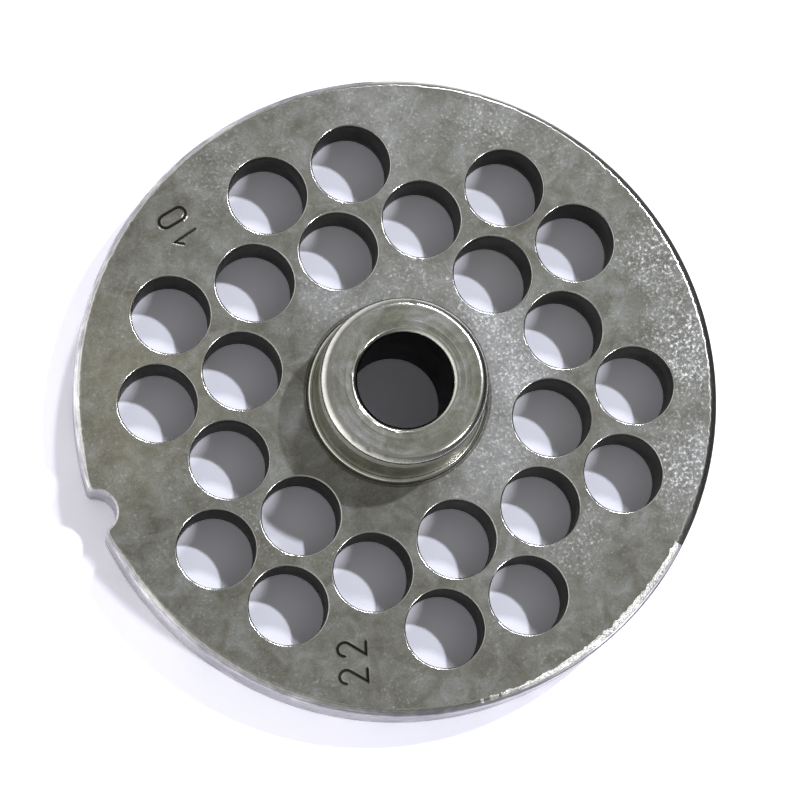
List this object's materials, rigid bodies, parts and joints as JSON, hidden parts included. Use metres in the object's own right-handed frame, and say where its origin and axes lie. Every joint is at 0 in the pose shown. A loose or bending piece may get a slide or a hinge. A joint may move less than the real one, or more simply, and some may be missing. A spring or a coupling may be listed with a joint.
{
  "type": "meat grinder plate",
  "caption": "Round hubbed grinder plate: a thick steel disc drilled with round meat holes round a turned hub with a plain through bore, and a small locating notch in its rim.",
  "frame": {"origin": "on the bore axis in the flat cutting face", "axes": "+Z along the bore axis from the cutting face towards the hub's top; the locating notch in the rim lies on -X, and one row direction of the hole grid runs along X"},
  "size_m": [0.0819, 0.082, 0.019],
  "materials": {
    "ground_steel": "ground faces with turned rim and hub"
  },
  "bodies": {
    "root": {"grinder_plate": "ground_steel"}
  },
  "joints": []
}
